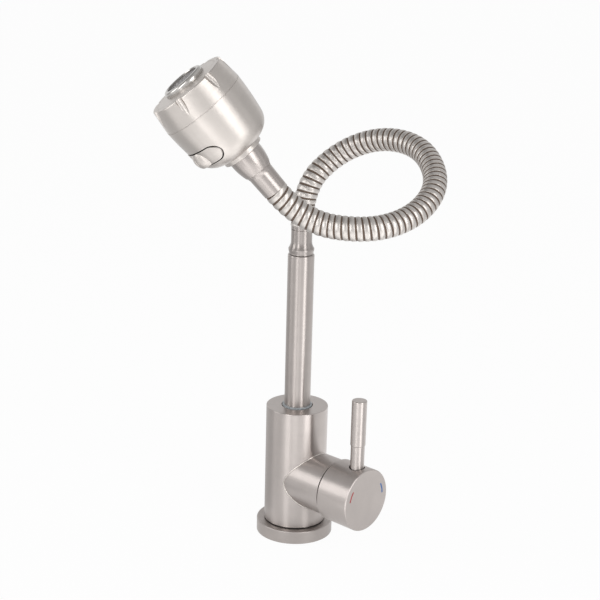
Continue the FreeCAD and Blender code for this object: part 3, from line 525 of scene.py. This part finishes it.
def make_fillet():
    """A thin polished bead along the saddle curve of the two rounds."""
    middle = []
    for step in range(FILLET_STEPS):
        angle = math.tau * step / FILLET_STEPS
        y = HOUSING_RADIUS * math.sin(angle)
        z = VALVE_Z + HOUSING_RADIUS * math.cos(angle)
        middle.append(Vector((math.sqrt(BODY_RADIUS ** 2 - y ** 2), y, z)))
    bm = bmesh.new()
    rings = []
    for i, point in enumerate(middle):
        ahead = (middle[(i + 1) % FILLET_STEPS] - middle[i - 1]).normalized()
        out = Vector((point.x, point.y, 0.0)).normalized()
        out = (out - ahead * out.dot(ahead)).normalized()
        side = ahead.cross(out)
        ring = []
        for k in range(FILLET_SIDES):
            turn = math.tau * k / FILLET_SIDES
            arm = out * math.cos(turn) + side * math.sin(turn)
            ring.append(bm.verts.new(point + arm * FILLET_RADIUS))
        rings.append(ring)
    for i, ring in enumerate(rings):
        after = rings[(i + 1) % FILLET_STEPS]
        for k in range(FILLET_SIDES):
            face = bm.faces.new((ring[k - 1], ring[k], after[k], after[k - 1]))
            face.smooth = True
    item = mesh_piece("saddle_fillet", bm, polished)
    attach(item, "base")


def make_seam():
    """A thin ring in the seam, on the spray head's own axis."""
    foot = Vector(HOSE_ROUTE[-1]) + Vector((0.0, 0.0, HOSE_FOOT_Z))
    axes = head_matrix()
    section = [
        (SEAM_INNER, SEAM_LOW),
        (SEAM_RADIUS, SEAM_LOW),
        (SEAM_RADIUS, SEAM_HIGH),
        (SEAM_CHAMFER, SEAM_FOOT),
        (SEAM_INNER, SEAM_FOOT),
    ]
    bm = bmesh.new()
    rings = []
    for side in range(SEAM_SIDES):
        turn = math.tau * side / SEAM_SIDES
        spots = [Vector((r * math.cos(turn), r * math.sin(turn), u)) for r, u in section]
        rings.append([bm.verts.new(foot + axes @ spot) for spot in spots])
    for side, ring in enumerate(rings):
        after = rings[(side + 1) % SEAM_SIDES]
        for k in range(len(section)):
            bm.faces.new((ring[k - 1], after[k - 1], after[k], ring[k]))
    item = mesh_piece("seam_ring", bm, satin)
    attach(item, "spray_head")


def make_camera():
    """The photograph's camera: level right and up, pitched down and rolled a little."""
    level = Vector((math.cos(CAMERA_AZIMUTH), math.sin(CAMERA_AZIMUTH), 0.0))
    flat = Vector((-math.sin(CAMERA_AZIMUTH), math.cos(CAMERA_AZIMUTH), 0.0))
    up = Vector((0.0, 0.0, 1.0))
    forward = flat * math.cos(CAMERA_PITCH) - up * math.sin(CAMERA_PITCH)
    raised = flat * math.sin(CAMERA_PITCH) + up * math.cos(CAMERA_PITCH)
    right = level * math.cos(CAMERA_ROLL) + raised * math.sin(CAMERA_ROLL)
    top = raised * math.cos(CAMERA_ROLL) - level * math.sin(CAMERA_ROLL)
    data = bpy.data.cameras.new("camera")
    data.lens = CAMERA_LENS
    data.sensor_width = CAMERA_SENSOR
    data.clip_start = CAMERA_NEAR
    camera = linked("camera", data)
    turned = Matrix((right, top, -forward)).transposed().to_4x4()
    camera.matrix_world = Matrix.Translation(CAMERA_AT) @ turned
    bpy.context.scene.camera = camera


def seen_by_eye(tree):
    """1 for camera, glossy and transmission rays, else 0."""
    path = new_node(tree, "ShaderNodeLightPath")
    seen = path.outputs["Is Camera Ray"]
    for ray in ("Is Glossy Ray", "Is Transmission Ray"):
        either = new_node(tree, "ShaderNodeMath")
        either.operation = "MAXIMUM"
        tree.links.new(seen, either.inputs[0])
        tree.links.new(path.outputs[ray], either.inputs[1])
        seen = either.outputs[0]
    return seen


def make_world():
    """A surround that is white to the eye and dimmer as a light."""
    world = bpy.data.worlds.new("studio")
    bpy.context.scene.world = world
    tree = cleared_tree(world)
    output = new_node(tree, "ShaderNodeOutputWorld")
    lighting = new_node(tree, "ShaderNodeBackground", {"Strength": SURROUND, "Color": WHITE})
    shown = new_node(tree, "ShaderNodeBackground", {"Strength": 1.0, "Color": WHITE})
    mix = new_node(tree, "ShaderNodeMixShader")
    tree.links.new(seen_by_eye(tree), mix.inputs["Fac"])
    tree.links.new(lighting.outputs[0], mix.inputs[1])
    tree.links.new(shown.outputs[0], mix.inputs[2])
    tree.links.new(mix.outputs[0], output.inputs["Surface"])


def plate(name, corners, material):
    """A flat four-cornered sheet for the studio."""
    mesh = bpy.data.meshes.new(name)
    mesh.from_pydata(corners, [], [(0, 1, 2, 3)])
    mesh.materials.append(material)
    item = linked(name, mesh)
    return item


def level_square(side, height):
    """The corners of a level square round the origin, by half its width."""
    return [(-side, -side, height), (side, -side, height), (side, side, height), (-side, side, height)]


def make_floor():
    """A pale floor that is nearly white to the eye and keeps a faint shadow."""
    material = bpy.data.materials.new("floor")
    tree = cleared_tree(material)
    output = new_node(tree, "ShaderNodeOutputMaterial")
    pale = new_node(tree, "ShaderNodeBsdfDiffuse", {"Color": FLOOR_COLOUR})
    glow = new_node(tree, "ShaderNodeEmission", {"Strength": 1.0})
    share = new_node(tree, "ShaderNodeMath", {1: FLOOR_GLOW})
    share.operation = "MULTIPLY"
    mix = new_node(tree, "ShaderNodeMixShader")
    tree.links.new(seen_by_eye(tree), share.inputs[0])
    tree.links.new(share.outputs[0], mix.inputs["Fac"])
    tree.links.new(pale.outputs[0], mix.inputs[1])
    tree.links.new(glow.outputs[0], mix.inputs[2])
    tree.links.new(mix.outputs[0], output.inputs["Surface"])
    plate("floor", level_square(FLOOR_SIDE, 0), material)


def round_object(azimuth, distance, height):
    """A point round the object, by the angle to the right from the camera's side."""
    angle = CAMERA_AZIMUTH + math.radians(azimuth)
    return LAMP_AIM + Vector((math.sin(angle) * distance, -math.cos(angle) * distance, height))


def lamp(name, azimuth, distance, height, width, tall, radiance):
    """A soft box that looks at the object, by how bright its face is."""
    data = bpy.data.lights.new(name, "AREA")
    data.shape = "RECTANGLE"
    data.size = width
    data.size_y = tall
    data.energy = radiance * math.pi * width * tall
    item = linked(name, data)
    item.location = round_object(azimuth, distance, height)
    item.rotation_euler = (LAMP_AIM - item.location).to_track_quat("-Z", "Y").to_euler()


def mirrored(name, corners, radiance):
    """A plain sheet round the object that only reflections see, as bright as given."""
    material = bpy.data.materials.new(name)
    tree = cleared_tree(material)
    output = new_node(tree, "ShaderNodeOutputMaterial")
    glow = new_node(tree, "ShaderNodeEmission", {"Strength": radiance})
    tree.links.new(glow.outputs[0], output.inputs["Surface"])
    item = plate(name, corners, material)
    item.visible_camera = False
    item.visible_shadow = False
    item.visible_diffuse = False


def card(name, azimuth, distance, height, width, tall, radiance):
    """An upright card that faces the object."""
    middle = round_object(azimuth, distance, height)
    toward = LAMP_AIM - middle
    across = Vector((-toward.y, toward.x, 0.0)).normalized() * width / 2
    up = Vector((0.0, 0.0, tall / 2))
    low = [middle - across - up, middle + across - up]
    high = [middle + across + up, middle - across + up]
    mirrored(name, low + high, radiance)


def level_sheet(name, left, right, near, far, height, radiance):
    """A level sheet between two angles and two distances."""
    spots = ((left, near), (right, near), (right, far), (left, far))
    corners = [round_object(azimuth, distance, 0.0) for azimuth, distance in spots]
    mirrored(name, [(corner.x, corner.y, height) for corner in corners], radiance)


def make_studio():
    """The surround, the floor, the lamps and what reflections see."""
    make_world()
    make_floor()
    for name, values in LAMPS.items():
        lamp(name, *values)
    for name, values in CARDS.items():
        card(name, *values)
    mirrored("ceiling", level_square(CEILING_SIDE, CEILING_HEIGHT), CEILING_GLOW)
    for name, values in SHEETS.items():
        level_sheet(name, *values)


dress_nodes()
make_hose()
make_fillet()
make_seam()
make_camera()
make_studio()

bpy.context.scene.view_settings.view_transform = "Standard"
